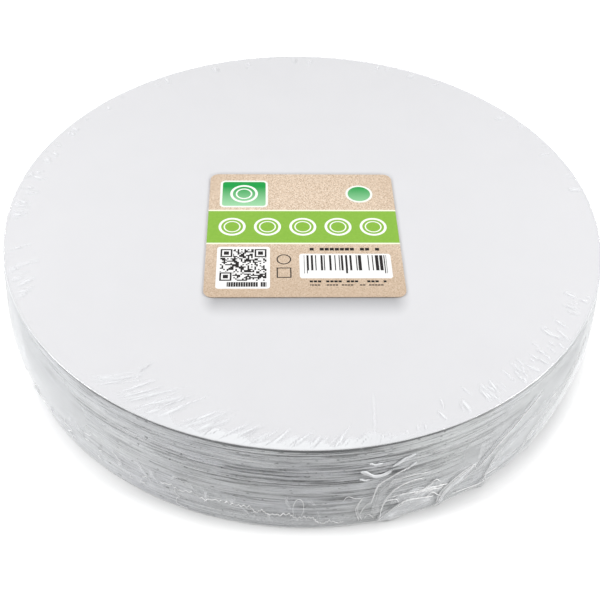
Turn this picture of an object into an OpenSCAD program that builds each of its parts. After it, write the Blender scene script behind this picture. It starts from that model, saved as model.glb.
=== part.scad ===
// Shrink-wrapped pack of round flat paper plates with a card label on top.
// The pack stands on its base, centred on the origin, and +Z is up.
// The front is towards -Y. Every length is in millimetres and every direction in degrees.

/* [Plates] */
// Diameter of a plate
plate_d = 229.6; // [150:0.2:300]
// Thickness of the pressed board of one plate
plate_t = 0.42; // [0.3:0.01:0.8]
// Number of plates in the pack
plate_count = 100; // [20:1:120]
// Air between one plate and the next
plate_gap = 0.02; // [0.01:0.005:0.05]
// Most that a plate lies off the middle of the pile
plate_shift = 0.2; // [0:0.05:0.5]
// Most that a plate is cut under size
plate_trim = 0.5; // [0:0.05:1]

/* [Film] */
// Thickness of the shrink film, with the air that it traps
film_t = 0.2; // [0.1:0.05:0.5]
// Slack between the edges of the plates and the film
film_slack = 0.2; // [0.1:0.05:0.6]

/* [Gathers] */
// Number of gathers round the edge of the top
gather_count = 40; // [20:2:48]
// Height of the tallest gather
gather_h = 0.7; // [0.2:0.05:1.5]
// Reach of the gathers in over the top
gather_len = 16; // [6:1:30]
// Reach of the gathers down the side
gather_drop = 5; // [2:1:15]

/* [Weld] */
// Height of the weld seam above the base
weld_z = 8.5; // [5:0.5:16]
// How far the weld stands out
weld_h = 0.6; // [0.2:0.1:1.2]
// Depth of the zigzag along the weld
weld_jag = 1.2; // [0:0.1:2]
// Half the height of the weld
weld_w = 1.5; // [1:0.1:2.5]

/* [Folds] */
// Direction of the bundle of folds, where 0 is right and -90 is front
fold_dir = -60; // [-90:1:-30]
// Number of folds in the bundle
fold_count = 5; // [2:1:8]
// Step from one fold to the next, in degrees
fold_step = 7; // [4:0.5:10]
// How far the middle fold stands out
fold_h = 2.4; // [0.5:0.1:4]
// Half the width of a fold, in degrees
fold_w = 2.8; // [2.5:0.1:4]
// Lean of the folds, in degrees for each millimetre of height
fold_lean = 0.55; // [0:0.05:0.8]
// Height over which the folds die out towards the base and the top
fold_fade = 4; // [2:0.5:8]

/* [Label] */
// Thickness of the label's card
label_t = 0.3; // [0.2:0.05:0.8]
// Radius of the label's corners
label_r = 3.4; // [1:0.1:8]
// Turn of the label on the pack
label_turn = 2.4; // [-10:0.1:10]
// Distance from the middle of the pack forward to the middle of the label
label_forward = 12; // [0:0.5:20]
// Thickness of the printed fields
print_t = 0.05; // [0.03:0.01:0.1]

/* [Printed fields] */
// Bare margin along each side of the label
margin = 4.2; // [2:0.1:8]
// Bare gap between the coloured band and the rows behind it and before it
row_gap = 1.5; // [0.5:0.1:4]
// Depth of the coloured band across the label
band_l = 18.6; // [10:0.1:30]
// Depth of the pale line along each side of the band
line_l = 0.8; // [0.3:0.1:2]
// Width of the badge at the label's back left
badge_w = 17.2; // [10:0.1:24]
// Depth of the badge
badge_l = 15.1; // [10:0.1:20]
// Width of the pale outline round the badge and round the dot
rim_w = 0.9; // [0.4:0.1:2]
// Diameter of the plain dot at the label's back right
dot_d = 9; // [4:0.1:10]
// Width of the tall panel at the label's front left
tall_w = 19.8; // [12:0.1:30]
// Depth of the tall panel
tall_l = 22.6; // [18:0.1:30]
// Gap between the tall panel and the wide one
panel_gap = 10.9; // [4:0.1:20]
// Width of the wide panel at the label's front right
wide_w = 34.2; // [20:0.1:50]
// Depth of the wide panel
wide_l = 13.3; // [8:0.1:14]
// Distance of the wide panel from the back of its row
wide_back = 3.9; // [1:0.1:4]
// Radius of the corners of the badge and the panels
field_r = 1.2; // [0.5:0.1:3]

/* [Hidden] */

// The pile of plates
pitch = plate_t + plate_gap;
stack_h = plate_count * pitch;
plate_r = plate_d / 2;
group_count = 9;
group_size = ceil((plate_count - 1) / group_count);

// The film round the pile
inner_r = plate_r + film_slack;
film_r = inner_r + film_t;
turn_r = film_t;
pack_h = stack_h + 2 * film_t;
columns = 160;

// The label, whose rows from back to front are the badge, the band and the panels
label_w = 2 * margin + tall_w + panel_gap + wide_w;
badge_row = badge_l + 2 * rim_w;
band_row = band_l + 2 * line_l;
label_l = 2 * margin + badge_row + band_row + tall_l + 2 * row_gap;
label_top = pack_h + label_t;
badge_x = margin + rim_w + badge_w / 2 - label_w / 2;
badge_y = label_l / 2 - margin - badge_row / 2;
band_y = badge_y - badge_row / 2 - row_gap - band_row / 2;
tall_x = margin + tall_w / 2 - label_w / 2;
tall_y = margin + tall_l / 2 - label_l / 2;
wide_x = label_w / 2 - margin - wide_w / 2;
wide_y = tall_y + (tall_l - wide_l) / 2 - wide_back;

// A repeatable stray value from 0 to 1 for plate i
function stray(i, seed) = let (v = 4375.85 * sin(127.1 * i + 311.7 * seed)) v - floor(v);

// One plate, at its own height in the pile, a little off centre and a little under size.
// The top plate is cut to the full size and lies true, so its edge stands out over the others.
module plate(i) {
    last = i == plate_count - 1;
    off = last ? 0 : plate_shift * stray(i, 1);
    under = last ? 0 : plate_trim * stray(i, 2);
    way = 360 * stray(i, 3);
    translate([off * cos(way), off * sin(way), film_t + i * pitch])
        cylinder(h = plate_t, r = plate_r - plate_shift - under + (last ? plate_shift : 0), $fn = 180);
}

// A group of plates, counted from the bottom of the pile
module plate_group(g) {
    color("gainsboro")
        for (i = [(g - 1) * group_size : min(g * group_size, plate_count - 1) - 1]) plate(i);
}

module top_plate() {
    color("white") plate(plate_count - 1);
}

// Gathers: pleats of uneven height and spacing that run in over the edge of the top
function gather(a) =
    gather_h * pow(max(0, sin(gather_count * a + 50 * sin(4 * a) + 35 * sin(11 * a))), 2)
    * (0.35 + 0.65 * pow(sin(3.5 * a + 20), 2));

// Zigzag along the weld, from -1 to 1
function zigzag(a) = 0.6 * sin(37 * a) + 0.4 * sin(61 * a + 30);

// Smallest turn from direction b to direction a
function turn_between(a, b) = let (d = (a - b) % 360) d > 180 ? d - 360 : d < -180 ? d + 360 : d;

// Folds: the slack of the film, drawn together into ridges that lean up to the right
function folds(a, z) = max([
    for (k = [0 : fold_count - 1])
        let (
            place = k - (fold_count - 1) / 2,
            middle = fold_dir + fold_step * place + fold_lean * (z - pack_h / 2),
            across = turn_between(a, middle) / fold_w
        )
        fold_h / (1 + 0.4 * abs(place)) * exp(-across * across)
]);

// How far the film stands off the pile's side, at direction a and height z
function side_stand(a, z) = let (
        depth = (pack_h - z) / gather_drop,
        near_weld = (z - weld_z) / weld_w,
        near_ends = min(1, z / fold_fade, (pack_h - z) / fold_fade)
    )
    max(near_ends * folds(a, z), weld_h * exp(-near_weld * near_weld) * (1 + zigzag(a)) / 2)
    + gather(a) * exp(-depth * depth);

// One column of points of the film in direction a, from the base up the side to the top
low_turn = [for (t = [0, 50, 90]) [film_r - turn_r + turn_r * sin(t), turn_r - turn_r * cos(t)]];
side_z = [
    for (k = [0 : 2]) weld_z + (k - 1) * weld_w,
    for (k = [1 : 6]) weld_z + weld_w + k * (pack_h - turn_r - weld_z - weld_w) / 6
];
function jag(a, z) = abs(z - weld_z) > weld_w ? 0 : weld_jag * zigzag(a) * (z < weld_z ? 0.5 : 1);
function column(a) = concat(
    [[low_turn[0][0], low_turn[0][1]]],
    [for (p = [low_turn[1], low_turn[2]]) [p[0] + side_stand(a, p[1]), p[1]]],
    [for (z = side_z) [film_r + side_stand(a, z), z + jag(a, z)]],
    [for (t = [45, 90])
        let (out = gather(a), r = turn_r + out)
        [film_r - turn_r + r * cos(t), pack_h - turn_r + r * sin(t)]],
    [for (t = [0.4, 1]) [film_r - turn_r - t * gather_len, pack_h + gather(a) * pow(1 - t, 1.5)]]
);

// The film's outside as one closed surface, ring by ring
module film_outside() {
    rings = len(column(0));
    points = [
        for (k = [0 : rings - 1], c = [0 : columns - 1])
            let (a = 360 * c / columns, p = column(a)[k])
            [p[0] * cos(a), p[0] * sin(a), p[1]]
    ];
    function at(k, c) = k * columns + c % columns;
    sides = [
        for (k = [0 : rings - 2], c = [0 : columns - 1]) each [
            [at(k, c), at(k + 1, c), at(k + 1, c + 1)],
            [at(k, c), at(k + 1, c + 1), at(k, c + 1)]
        ]
    ];
    base = [for (c = [0 : columns - 1]) at(0, c)];
    top = [for (c = [columns - 1 : -1 : 0]) at(rings - 1, c)];
    polyhedron(points, concat(sides, [base, top]));
}

// The film is closed all round, and the pile fills it
module shrink_film() {
    color("white", 0.35) difference() {
        film_outside();
        translate([0, 0, film_t]) cylinder(h = stack_h, r = inner_r, $fn = 720);
    }
}

// A flat field with round corners, its middle at x and y
module field(w, l, r, x = 0, y = 0) {
    translate([x, y]) union() {
        square([w - 2 * r, l], center = true);
        square([w, l - 2 * r], center = true);
        for (sx = [-1, 1], sy = [-1, 1]) translate([sx * (w / 2 - r), sy * (l / 2 - r)]) circle(r, $fn = 48);
    }
}

// Lays what is drawn about the label's own middle on the pack, from height z up
module on_pack(z, t) {
    translate([0, -label_forward, z]) rotate([0, 0, label_turn]) linear_extrude(height = t) children();
}

module label_card() {
    color("burlywood") on_pack(pack_h, label_t) field(label_w, label_l, label_r);
}

module label_band() {
    color("yellowgreen") on_pack(label_top, print_t)
        translate([0, band_y]) square([label_w, band_l], center = true);
}

// Two pale lines, one along each side of the band
module label_lines() {
    color("beige") on_pack(label_top, print_t)
        for (side = [-1, 1])
            translate([0, band_y + side * (band_l + line_l) / 2]) square([label_w, line_l], center = true);
}

// A green badge and a plain green dot
module label_badge() {
    color("forestgreen") on_pack(label_top, print_t) {
        field(badge_w, badge_l, field_r, badge_x, badge_y);
        translate([-badge_x, badge_y]) circle(d = dot_d, $fn = 64);
    }
}

// The pale outlines that the badge and the dot sit in
module label_rims() {
    color("white") on_pack(label_top, print_t) {
        difference() {
            field(badge_w + 2 * rim_w, badge_l + 2 * rim_w, field_r + rim_w, badge_x, badge_y);
            field(badge_w, badge_l, field_r, badge_x, badge_y);
        }
        translate([-badge_x, badge_y]) difference() {
            circle(d = dot_d + 2 * rim_w, $fn = 64);
            circle(d = dot_d, $fn = 64);
        }
    }
}

// Two white panels
module label_panels() {
    color("white") on_pack(label_top, print_t) {
        field(tall_w, tall_l, field_r, tall_x, tall_y);
        field(wide_w, wide_l, field_r, wide_x, wide_y);
    }
}

shrink_film();
top_plate();
for (g = [1 : group_count]) plate_group(g);
label_card();
label_band();
label_lines();
label_badge();
label_rims();
label_panels();
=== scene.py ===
import math

import bpy
import numpy as np
from mathutils import Matrix, Vector


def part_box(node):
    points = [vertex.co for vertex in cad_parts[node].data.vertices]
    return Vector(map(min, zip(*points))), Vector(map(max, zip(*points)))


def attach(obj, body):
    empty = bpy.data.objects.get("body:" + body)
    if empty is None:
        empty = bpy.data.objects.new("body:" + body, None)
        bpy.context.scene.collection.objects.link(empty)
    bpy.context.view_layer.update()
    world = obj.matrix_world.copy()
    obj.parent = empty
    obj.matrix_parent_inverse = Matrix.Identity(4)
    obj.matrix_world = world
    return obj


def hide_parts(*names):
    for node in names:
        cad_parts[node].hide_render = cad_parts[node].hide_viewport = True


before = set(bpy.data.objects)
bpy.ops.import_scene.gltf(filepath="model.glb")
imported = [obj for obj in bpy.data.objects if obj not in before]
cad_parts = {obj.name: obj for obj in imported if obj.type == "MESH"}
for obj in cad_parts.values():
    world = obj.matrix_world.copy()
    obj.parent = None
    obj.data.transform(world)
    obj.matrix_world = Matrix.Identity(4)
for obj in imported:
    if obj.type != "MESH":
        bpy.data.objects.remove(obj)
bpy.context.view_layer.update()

# Lengths are in metres unless a comment says millimetres, and directions are in degrees,
# where 0 is right and -90 is front

MM = 0.001

# The pile, the film and the label, read from the frame

top_low, top_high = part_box("top_plate")
pile_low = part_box("plates_1")[0]
label_low, label_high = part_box("label_card")

PLATES = 100
PLATES_IN_GROUP = 11
GROUPS = 9
PLATE_R = (top_high.x - top_low.x) / 2
PLATE_T = top_high.z - top_low.z
PITCH = (top_low.z - pile_low.z) / (PLATES - 1)
# How far the film stands off the plates, as a share of the thickness of the source's film
FILM_OFF = 0.75
FILM_R = PLATE_R + FILM_OFF * pile_low.z
PACK_H = label_low.z
LABEL_MIDDLE = (label_low + label_high) / 2
LABEL_TURN = 2.4
FULL_TURN = 2 * math.pi
SEED = 23

random = np.random.RandomState(SEED)


# Helpers for numbers


def hill(values, middle, spread):
    """1 at the middle, falling to 0 on both sides."""
    return np.exp(-(((values - middle) / spread) ** 2))


def turn_from(start, direction):
    """The turn from one direction to another, from -180 to 180 degrees."""
    return (direction - start + 180) % 360 - 180


def along_wall(degrees):
    """The way along the film's wall for a turn, in millimetres."""
    return np.radians(degrees) * FILM_R / MM


def eased(path, steps=8):
    """A smooth route through a few points."""
    points = np.array(path, float)
    padded = np.vstack([2 * points[0] - points[1], points, 2 * points[-1] - points[-2]])
    route = []
    for i in range(1, len(padded) - 2):
        p0, p1, p2, p3 = padded[i - 1 : i + 3]
        square = 2 * p0 - 5 * p1 + 4 * p2 - p3
        cube = 3 * p1 - p0 - 3 * p2 + p3
        for t in np.arange(steps) / steps:
            route.append(0.5 * (2 * p1 + (p2 - p0) * t + square * t**2 + cube * t**3))
    route.append(points[-1])
    return np.array(route)


# Modelling helpers


def deselect():
    """Leaves edit mode with nothing selected."""
    if bpy.context.mode != "OBJECT":
        bpy.ops.object.mode_set(mode="OBJECT")
    bpy.ops.object.select_all(action="DESELECT")


def pick(obj):
    """Makes obj the one selected object."""
    deselect()
    obj.select_set(True)
    bpy.context.view_layer.objects.active = obj


def named(name):
    """The object just added, under its own name."""
    obj = bpy.context.object
    obj.name = name
    obj.data.name = name
    return obj


def settle(obj):
    """Puts the object at the origin with its place in its mesh."""
    pick(obj)
    bpy.ops.object.transform_apply(location=True, rotation=True, scale=True)
    return obj


def places(obj):
    """The places of the mesh's vertices, one row each."""
    flat = np.zeros(len(obj.data.vertices) * 3)
    obj.data.vertices.foreach_get("co", flat)
    return flat.reshape(-1, 3)


def move_to(obj, points):
    """Moves the mesh's vertices to these places."""
    obj.data.vertices.foreach_set("co", points.ravel())
    obj.data.update()


def weigh(obj, name, values):
    """Keeps one value for each vertex, for the materials to read."""
    layer = obj.data.attributes.new(name, "FLOAT", "POINT")
    layer.data.foreach_set("value", values)


def select_parts(obj, kind, wanted):
    """Selects in edit mode the faces or the edges for which wanted(part) is true."""
    pick(obj)
    bpy.ops.object.mode_set(mode="EDIT")
    bpy.ops.mesh.select_mode(type=kind)
    bpy.ops.mesh.select_all(action="DESELECT")
    bpy.ops.object.mode_set(mode="OBJECT")
    for part in obj.data.edges if kind == "EDGE" else obj.data.polygons:
        part.select = bool(wanted(part))
    bpy.ops.object.mode_set(mode="EDIT")


def face_outwards():
    """Turns all faces of the piece in edit mode outwards, and leaves edit mode."""
    bpy.ops.mesh.select_all(action="SELECT")
    bpy.ops.mesh.normals_make_consistent(inside=False)
    bpy.ops.object.mode_set(mode="OBJECT")


def apply_modifier(kind, **settings):
    """Gives the active piece a modifier with these settings and applies it."""
    bpy.ops.object.modifier_add(type=kind)
    modifier = bpy.context.object.modifiers[-1]
    for name, value in settings.items():
        setattr(modifier, name, value)
    bpy.ops.object.modifier_apply(modifier=modifier.name)


def smooth(obj, angle):
    """Shades the mesh smooth across edges flatter than angle."""
    pick(obj)
    bpy.ops.object.shade_smooth_by_angle(angle=math.radians(angle))


def finish_piece(obj, material, slot, *nodes):
    """Gives a piece its material and body, and the nodes that it stands for; the slot is not used."""
    obj.data.materials.clear()
    obj.data.materials.append(material)
    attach(obj, "root")
    if nodes:
        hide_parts(*nodes)


# Shader helpers


class Wire:
    """A socket in a material, which Python's operators join to others through Math nodes."""

    def __init__(self, finish, socket):
        self.finish = finish
        self.socket = socket

    def math(self, operation, *others):
        links = dict(enumerate([self, *others]))
        return self.finish.node("ShaderNodeMath", {"operation": operation}, links)

    def __add__(self, other):
        return self.math("ADD", other)

    def __sub__(self, other):
        return self.math("SUBTRACT", other)

    def __mul__(self, other):
        return self.math("MULTIPLY", other)

    def __truediv__(self, other):
        return self.math("DIVIDE", other)

    def __pow__(self, other):
        return self.math("POWER", other)

    def __lt__(self, other):
        return self.math("LESS_THAN", other)

    def __gt__(self, other):
        return self.math("GREATER_THAN", other)

    def __rsub__(self, other):
        return (self * -1) + other

    __radd__ = __add__
    __rmul__ = __mul__

    def absolute(self):
        return self.math("ABSOLUTE")

    def floor(self):
        return self.math("FLOOR")

    def least(self, other):
        return self.math("MINIMUM", other)

    def most(self, other):
        return self.math("MAXIMUM", other)

    def limited(self, low=0.0, high=1.0):
        return self.least(high).most(low)

    def between(self, low, high):
        """Low where the value is 0 and high where it is 1."""
        return self * (high - low) + low

    def step_up(self, low, high):
        """0 below low, 1 above high and even in between."""
        links = {"Value": self, "From Min": low, "From Max": high}
        return self.finish.node("ShaderNodeMapRange", {"clamp": True}, links)


class Finish:
    """A material or a world that is built node by node."""

    def __init__(self, owner, output):
        self.owner = owner
        owner.use_nodes = True
        self.tree = owner.node_tree
        self.tree.nodes.clear()
        self.output = self.tree.nodes.new(output)

    @classmethod
    def new(cls, name):
        """A new material."""
        return cls(bpy.data.materials.new(name), "ShaderNodeOutputMaterial")

    def node(self, kind, settings=None, links=None, out=0):
        """Adds a node, sets it, feeds its sockets and gives back one of its outputs."""
        made = self.tree.nodes.new(kind)
        for name, value in (settings or {}).items():
            setattr(made, name, value)
        for name, value in (links or {}).items():
            if isinstance(value, Wire):
                self.tree.links.new(value.socket, made.inputs[name])
            else:
                made.inputs[name].default_value = value
        return Wire(self, made.outputs[out])

    def place(self):
        """Where a point is on the piece, in metres."""
        return self.node("ShaderNodeTexCoord", out="Object")

    def parts(self, vector):
        """The three values of a vector."""
        split = self.node("ShaderNodeSeparateXYZ", {}, {0: vector})
        return [Wire(self, socket) for socket in split.socket.node.outputs]

    def stretched(self, vector, scale, turn=0.0, start=(0.0, 0.0, 0.0)):
        """A vector about another middle, turned about Z and scaled."""
        moved = self.node("ShaderNodeVectorMath", {"operation": "SUBTRACT"}, {0: vector, 1: start})
        links = {"Vector": moved, "Rotation": (0.0, 0.0, math.radians(turn)), "Scale": scale}
        return self.node("ShaderNodeMapping", {"vector_type": "POINT"}, links)

    def noise(self, vector, scale, detail=2.0, roughness=0.5):
        links = {"Vector": vector, "Scale": scale, "Detail": detail, "Roughness": roughness}
        return self.node("ShaderNodeTexNoise", {}, links)

    def streaks(self, vector, along, up, detail, roughness=0.5):
        """Noise drawn out along the boards."""
        return self.noise(self.stretched(vector, (along, along, up)), 1.0, detail, roughness)

    def blend(self, factor, first, second):
        """One colour turning into another as factor goes from 0 to 1."""
        mixed = self.node("ShaderNodeMix", {"data_type": "RGBA"}, {"Factor": factor})
        made = mixed.socket.node
        colours = [s for s in made.inputs if s.type == "RGBA"]
        for socket, value in zip(colours, (first, second)):
            if isinstance(value, Wire):
                self.tree.links.new(value.socket, socket)
            else:
                socket.default_value = value
        return Wire(self, next(s for s in made.outputs if s.type == "RGBA"))

    def attribute(self, name):
        return self.node("ShaderNodeAttribute", {"attribute_name": name}, {}, out="Fac")

    def bump(self, height, distance, strength):
        links = {"Height": height, "Distance": distance, "Strength": strength}
        return self.node("ShaderNodeBump", {}, links)

    def principled(self, **sockets):
        links = {name.replace("_", " "): value for name, value in sockets.items()}
        return self.node("ShaderNodeBsdfPrincipled", {}, links)

    def mixed(self, factor, first, second):
        """One shader turning into another as factor goes from 0 to 1."""
        return self.node("ShaderNodeMixShader", {}, {0: factor, 1: first, 2: second})

    def surface(self, shader):
        """Makes this shader the surface, and gives back the finished material."""
        self.tree.links.new(shader.socket, self.output.inputs["Surface"])
        return self.owner

    def painted(self, colour, roughness, relief=None, **sockets):
        """An opaque surface, with a relief of a height, a distance and a strength."""
        if relief:
            sockets["Normal"] = self.bump(*relief)
        return self.surface(self.principled(Base_Color=colour, Roughness=roughness, **sockets))


def grey(value):
    return (value, value, value, 1.0)


# Materials

# Noise of each finish: its count per metre, its detail and its roughness. Noise drawn out along
# the boards has its counts along and up them first, and noise on the film counts per millimetre.
PAPER_MOTTLE = (45.0, 4.0, 0.6)
PAPER_FIBRES = (1400.0, 3.0)
PAPER_LUMPS = (160.0, 2.0)
EDGE_TINT = (28.0, 2.0)
EDGE_GRAIN = (1500.0, 2.0, 0.6)
EDGE_STREAKS = (120.0, 2200.0, 4.0, 0.65)
EDGE_PATCHES = (22.0, 160.0, 3.0, 0.6)
EDGE_NICKS = (420.0, 1500.0, 1.0)
EDGE_LAYERS = (36.0, 1250.0, 1.0)
EDGE_FINE_LAYERS = (60.0, 2100.0, 0.0)
EDGE_ROUGHNESS = (500.0, 3000.0, 3.0)
FILM_RIPPLE = (210.0, 3.0, 0.6)
FILM_CREASES = (0.40, 1.0)
FILM_FINE_CREASES = (0.75, 1.0)
FILM_CLOUD = (0.35, 3.0, 0.6)

# Colours of each finish
PAPER = ((0.738, 0.738, 0.757, 1.0), (0.748, 0.748, 0.767, 1.0))
# The colour of the label's shadow, painted on the paper
PAINTED_LABEL_SHADOW = (0.20, 0.20, 0.21, 1.0)
EDGE_PALE = ((0.87, 0.892, 0.88, 1.0), (0.865, 0.87, 0.93, 1.0))
EDGE_DULL = (0.46, 0.472, 0.48, 1.0)
EDGE_PATCH = (0.68, 0.688, 0.695, 1.0)
# The colour of the painted shade in the lines between the boards
EDGE_SHADE_LINE = (0.06, 0.063, 0.068, 1.0)
# The colour of the painted glints along the boards
EDGE_PAINTED_GLINT = (0.87, 0.884, 0.89, 1.0)
EDGE_NICK = (0.14, 0.15, 0.15, 1.0)
# The colour of the painted shade on the edges beside wide gaps and under the top plate
EDGE_GAP_SHADE = (0.03, 0.033, 0.036, 1.0)
FILM_MILK = (0.95, 0.965, 0.98, 1.0)
# The colour of the painted shade on the film
FILM_SHADE = (0.50, 0.50, 0.52, 1.0)

# The label's half width, and how far the painted shadow on the paper reaches from it, in millimetres
LABEL_HALF = 35.0
SHADE_SIDE = 3.4
SHADE_FRONT = 10.5
SHADE_STRENGTH = 0.72
# The way to the front of the pile, where the edges are painted darker as shade and show the most contrast,
# and from where to where
FRONT_X = 0.25
FRONT_Y = -0.97
FRONT_REACH = (0.02, 0.09)
# The part of the wall beside the middle with the strongest painted shade lines: its x and its half width
STRONG_X = 0.030
STRONG_HALF = 0.026
# How much of the light the film mirrors when seen straight on
FILM_GLOSS = 0.06
# The creases on the film: how much they are drawn out, and the level and width of a line in the noise, for
# the creases and for the painted shade lines beside them
DRAWN_OUT = 0.28
CREASE_LINE = (0.5, 0.030)
SHADE_LINE = (0.54, 0.016)


def label_place(f):
    """Places across and back on the label, from its own middle, in millimetres."""
    start = (LABEL_MIDDLE.x, LABEL_MIDDLE.y, label_high.z)
    per_millimetre = 1 / MM
    return f.parts(f.stretched(f.place(), (per_millimetre,) * 3, -LABEL_TURN, start))[:2]


def label_painted_shadow(f):
    """The label's painted shadow on the paper, 1 at the label and 0 beyond the shadow's reach."""
    x, y = label_place(f)
    beside = (x.absolute() - LABEL_HALF + SHADE_SIDE) / SHADE_SIDE * 0.5
    before = (y * -1.0 - LABEL_HALF) / SHADE_FRONT
    behind = (y - LABEL_HALF) / SHADE_SIDE
    away = (beside.most(0.0) ** 2 + before.most(behind).most(0.0) ** 2) ** 0.5
    return away.step_up(1.0, 0.0) ** 1.3


def paper_face():
    """White uncoated board: even, with a faint mottle, a felt of fibres and the label's shadow painted round
    the label.
    """
    f = Finish.new("plate_face")
    spot = f.place()
    mottle = f.noise(spot, *PAPER_MOTTLE).step_up(0.35, 0.65)
    fibres = f.noise(f.stretched(spot, (1.0, 3.0, 1.0), 25.0), *PAPER_FIBRES)
    # The paper is painted darker round the label, as the label's shadow
    colour = f.blend(label_painted_shadow(f) * SHADE_STRENGTH, f.blend(mottle, *PAPER), PAINTED_LABEL_SHADOW)
    lumps = fibres * 0.3 + f.noise(spot, *PAPER_LUMPS) * 0.7
    return f.painted(colour, 0.8, (lumps, 0.06 * MM, 0.5))


def painted_shade_lines(f, spot, front, layers):
    """Painted shade lines between the boards, strongest at the front and in the pile's upper part."""
    x, _, z = f.parts(spot)
    upper = z.step_up(6 * MM, 20 * MM).between(0.6, 1.0)
    beside = 1.0 - ((x - STRONG_X) / STRONG_HALF).absolute().limited()
    strong = front.between(0.08, 0.43) * upper + beside * upper * front * 0.25
    finer = f.streaks(spot, *EDGE_FINE_LAYERS).step_up(0.36, 0.30)
    return (layers.step_up(0.42, 0.37) * strong).most(finer * strong * 0.8).limited()


def paper_edge():
    """The cut edges of the pile: greyer, with streaks along the boards and small dark nicks, painted darker
    to the front as shade, with painted shade between the boards and at wide gaps, and with painted glints.
    """
    f = Finish.new("plate_edges")
    spot = f.place()
    x, y = f.parts(spot)[:2]
    front = (x * FRONT_X + y * FRONT_Y).step_up(*FRONT_REACH)
    streak = f.streaks(spot, *EDGE_STREAKS).step_up(0.3, 0.7)
    grain = f.noise(spot, *EDGE_GRAIN).step_up(0.25, 0.75)
    # The edges are painted darker towards the front, as shade, and streakier there
    uneven = (streak * 0.75 + grain * 0.25 - 0.6) * front.between(0.4, 1.0) + front.between(0.7, 0.6)
    tint = f.noise(spot, *EDGE_TINT).step_up(0.4, 0.62) * 0.5 + x.step_up(0.04, -0.05) * 0.5
    dull = f.blend(uneven, EDGE_DULL, f.blend(tint, *EDGE_PALE))
    patch = f.streaks(spot, *EDGE_PATCHES).step_up(0.35, 0.7)
    patched = f.blend(patch * 0.35, dull, EDGE_PATCH)
    layers = f.streaks(spot, *EDGE_LAYERS)
    # Lines between the boards are painted dark as shade
    lined = f.blend(painted_shade_lines(f, spot, front, layers), patched, EDGE_SHADE_LINE)
    # Pale streaks along the layers are painted glints
    glinted = f.blend(layers.step_up(0.56, 0.64) * 0.55, lined, EDGE_PAINTED_GLINT)
    nick = f.streaks(spot, *EDGE_NICKS).step_up(0.67, 0.72)
    nicked = f.blend(nick * front.between(0.1, 0.75), glinted, EDGE_NICK)
    # Painted shade on the edges beside wide gaps and under the top plate
    painted_gap_shade = (f.attribute("painted_gap_shade") ** 1.8 * streak.step_up(1.2, 0.1)).limited()
    colour = f.blend(painted_gap_shade * 0.8, nicked, EDGE_GAP_SHADE)
    return f.painted(colour, 0.85, (f.streaks(spot, *EDGE_ROUGHNESS), 0.12 * MM, 0.6))


def lines_in(noise, level, width):
    """1 where a noise passes a level and 0 from a width beside it, which makes lines that wander."""
    return 1.0 - ((noise - level).absolute() / width).limited()


def clear_film():
    """Clear shrink film: glossy, milky where it is gathered, finely creased where it is crumpled, and painted
    grey as shade on pleat flanks and along dark lines in the creases.
    """
    f = Finish.new("shrink_film_clear")
    crumpled = f.attribute("crumpled")
    ways = {0: f.attribute("along") * DRAWN_OUT, 1: f.attribute("across")}
    on_film = f.node("ShaderNodeCombineXYZ", {}, ways)
    wander = f.noise(on_film, *FILM_CREASES)
    finer = lines_in(f.noise(on_film, *FILM_FINE_CREASES), *CREASE_LINE)
    creases = lines_in(wander, *CREASE_LINE).most(finer * 0.7) * crumpled
    shade_line = lines_in(wander, *SHADE_LINE) * crumpled
    ripple = f.noise(f.stretched(f.place(), (1.0, 1.0, 1.6)), *FILM_RIPPLE)
    folds = ripple * 0.15 + wander * crumpled * 0.7 + creases * 0.3
    normal = f.bump(folds, 0.5 * MM, 1.0)
    shine = f.node("ShaderNodeBsdfGlossy", {}, {"Color": grey(1.0), "Roughness": 0.1, "Normal": normal})
    slant = f.node("ShaderNodeLayerWeight", {}, {"Blend": 0.5, "Normal": normal}, out="Facing")
    clear = f.node("ShaderNodeBsdfTransparent", {}, {"Color": grey(0.985)})
    sheer = f.mixed(FILM_GLOSS + (1 - FILM_GLOSS) * slant**5, clear, shine)
    # The film's white is painted grey as shade on pleat flanks and along the dark crease lines
    colour = f.blend(f.attribute("shaded").most(shade_line * 0.7), FILM_MILK, FILM_SHADE)
    white = f.principled(Base_Color=colour, Roughness=0.35, Normal=normal)
    cloud = f.noise(on_film, *FILM_CLOUD).step_up(0.3, 0.7)
    haze = f.attribute("gathered") * (1.0 - crumpled * 0.6 + crumpled * cloud * 0.9)
    veil = (haze + creases * 0.8).most(shade_line * 0.3).limited(0.0, 0.95)
    return f.surface(f.mixed(veil, sheer, white))


def white_crease():
    """Film that is creased or welded until it is white."""
    return Finish.new("shrink_film_crease").painted(grey(0.93), 0.3)


# Plates

BOARD_SIDES = 360
TOP_PLATE_SIDES = 512
TOP_BEVEL = 0.12 * MM
# The band inside a board's rim, which lets the rim bend by itself
BAND = 6 * MM
# The gap under the top plate's edge, which shows as a dark line
TOP_GAP = 0.38 * MM
# Most gaps are closed, some part a little and a few part well, as powers of e,
# and the second row of shares is for the pile's upper half, which has more of them
GAP_SIZES = (0.0, 2.1, 3.2)
GAP_SHARES = ((0.58, 0.25, 0.17), (0.50, 0.30, 0.20))
# Waves in a gap, as cycles round the pile and size, and how strongly they tell
GAP_WAVES = ((1, 0.7), (2, 0.8), (5, 0.8), (9, 0.9), (17, 0.8), (31, 0.7), (53, 0.5))
GAP_WAVE_STRENGTH = 1.15
# The part of the air that all gaps share evenly
EVEN_SHARE = 0.12
# A gap from this size on leaves painted shade on the edges beside it
DARK_GAP = 0.055 * MM
# Where the painted shade at the gaps shows most: a direction and a spread, for the boards under the top plate
# too
DARK_FRONT = (-80, 30)
DARK_BROAD = (-98, 50)
# How dark the painted shade under the top plate makes the two boards below it, all round and at the front
UNDER_TOP = {PLATES - 2: (0.3, 2.2), PLATES - 3: (0.2, 1.1)}
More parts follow.
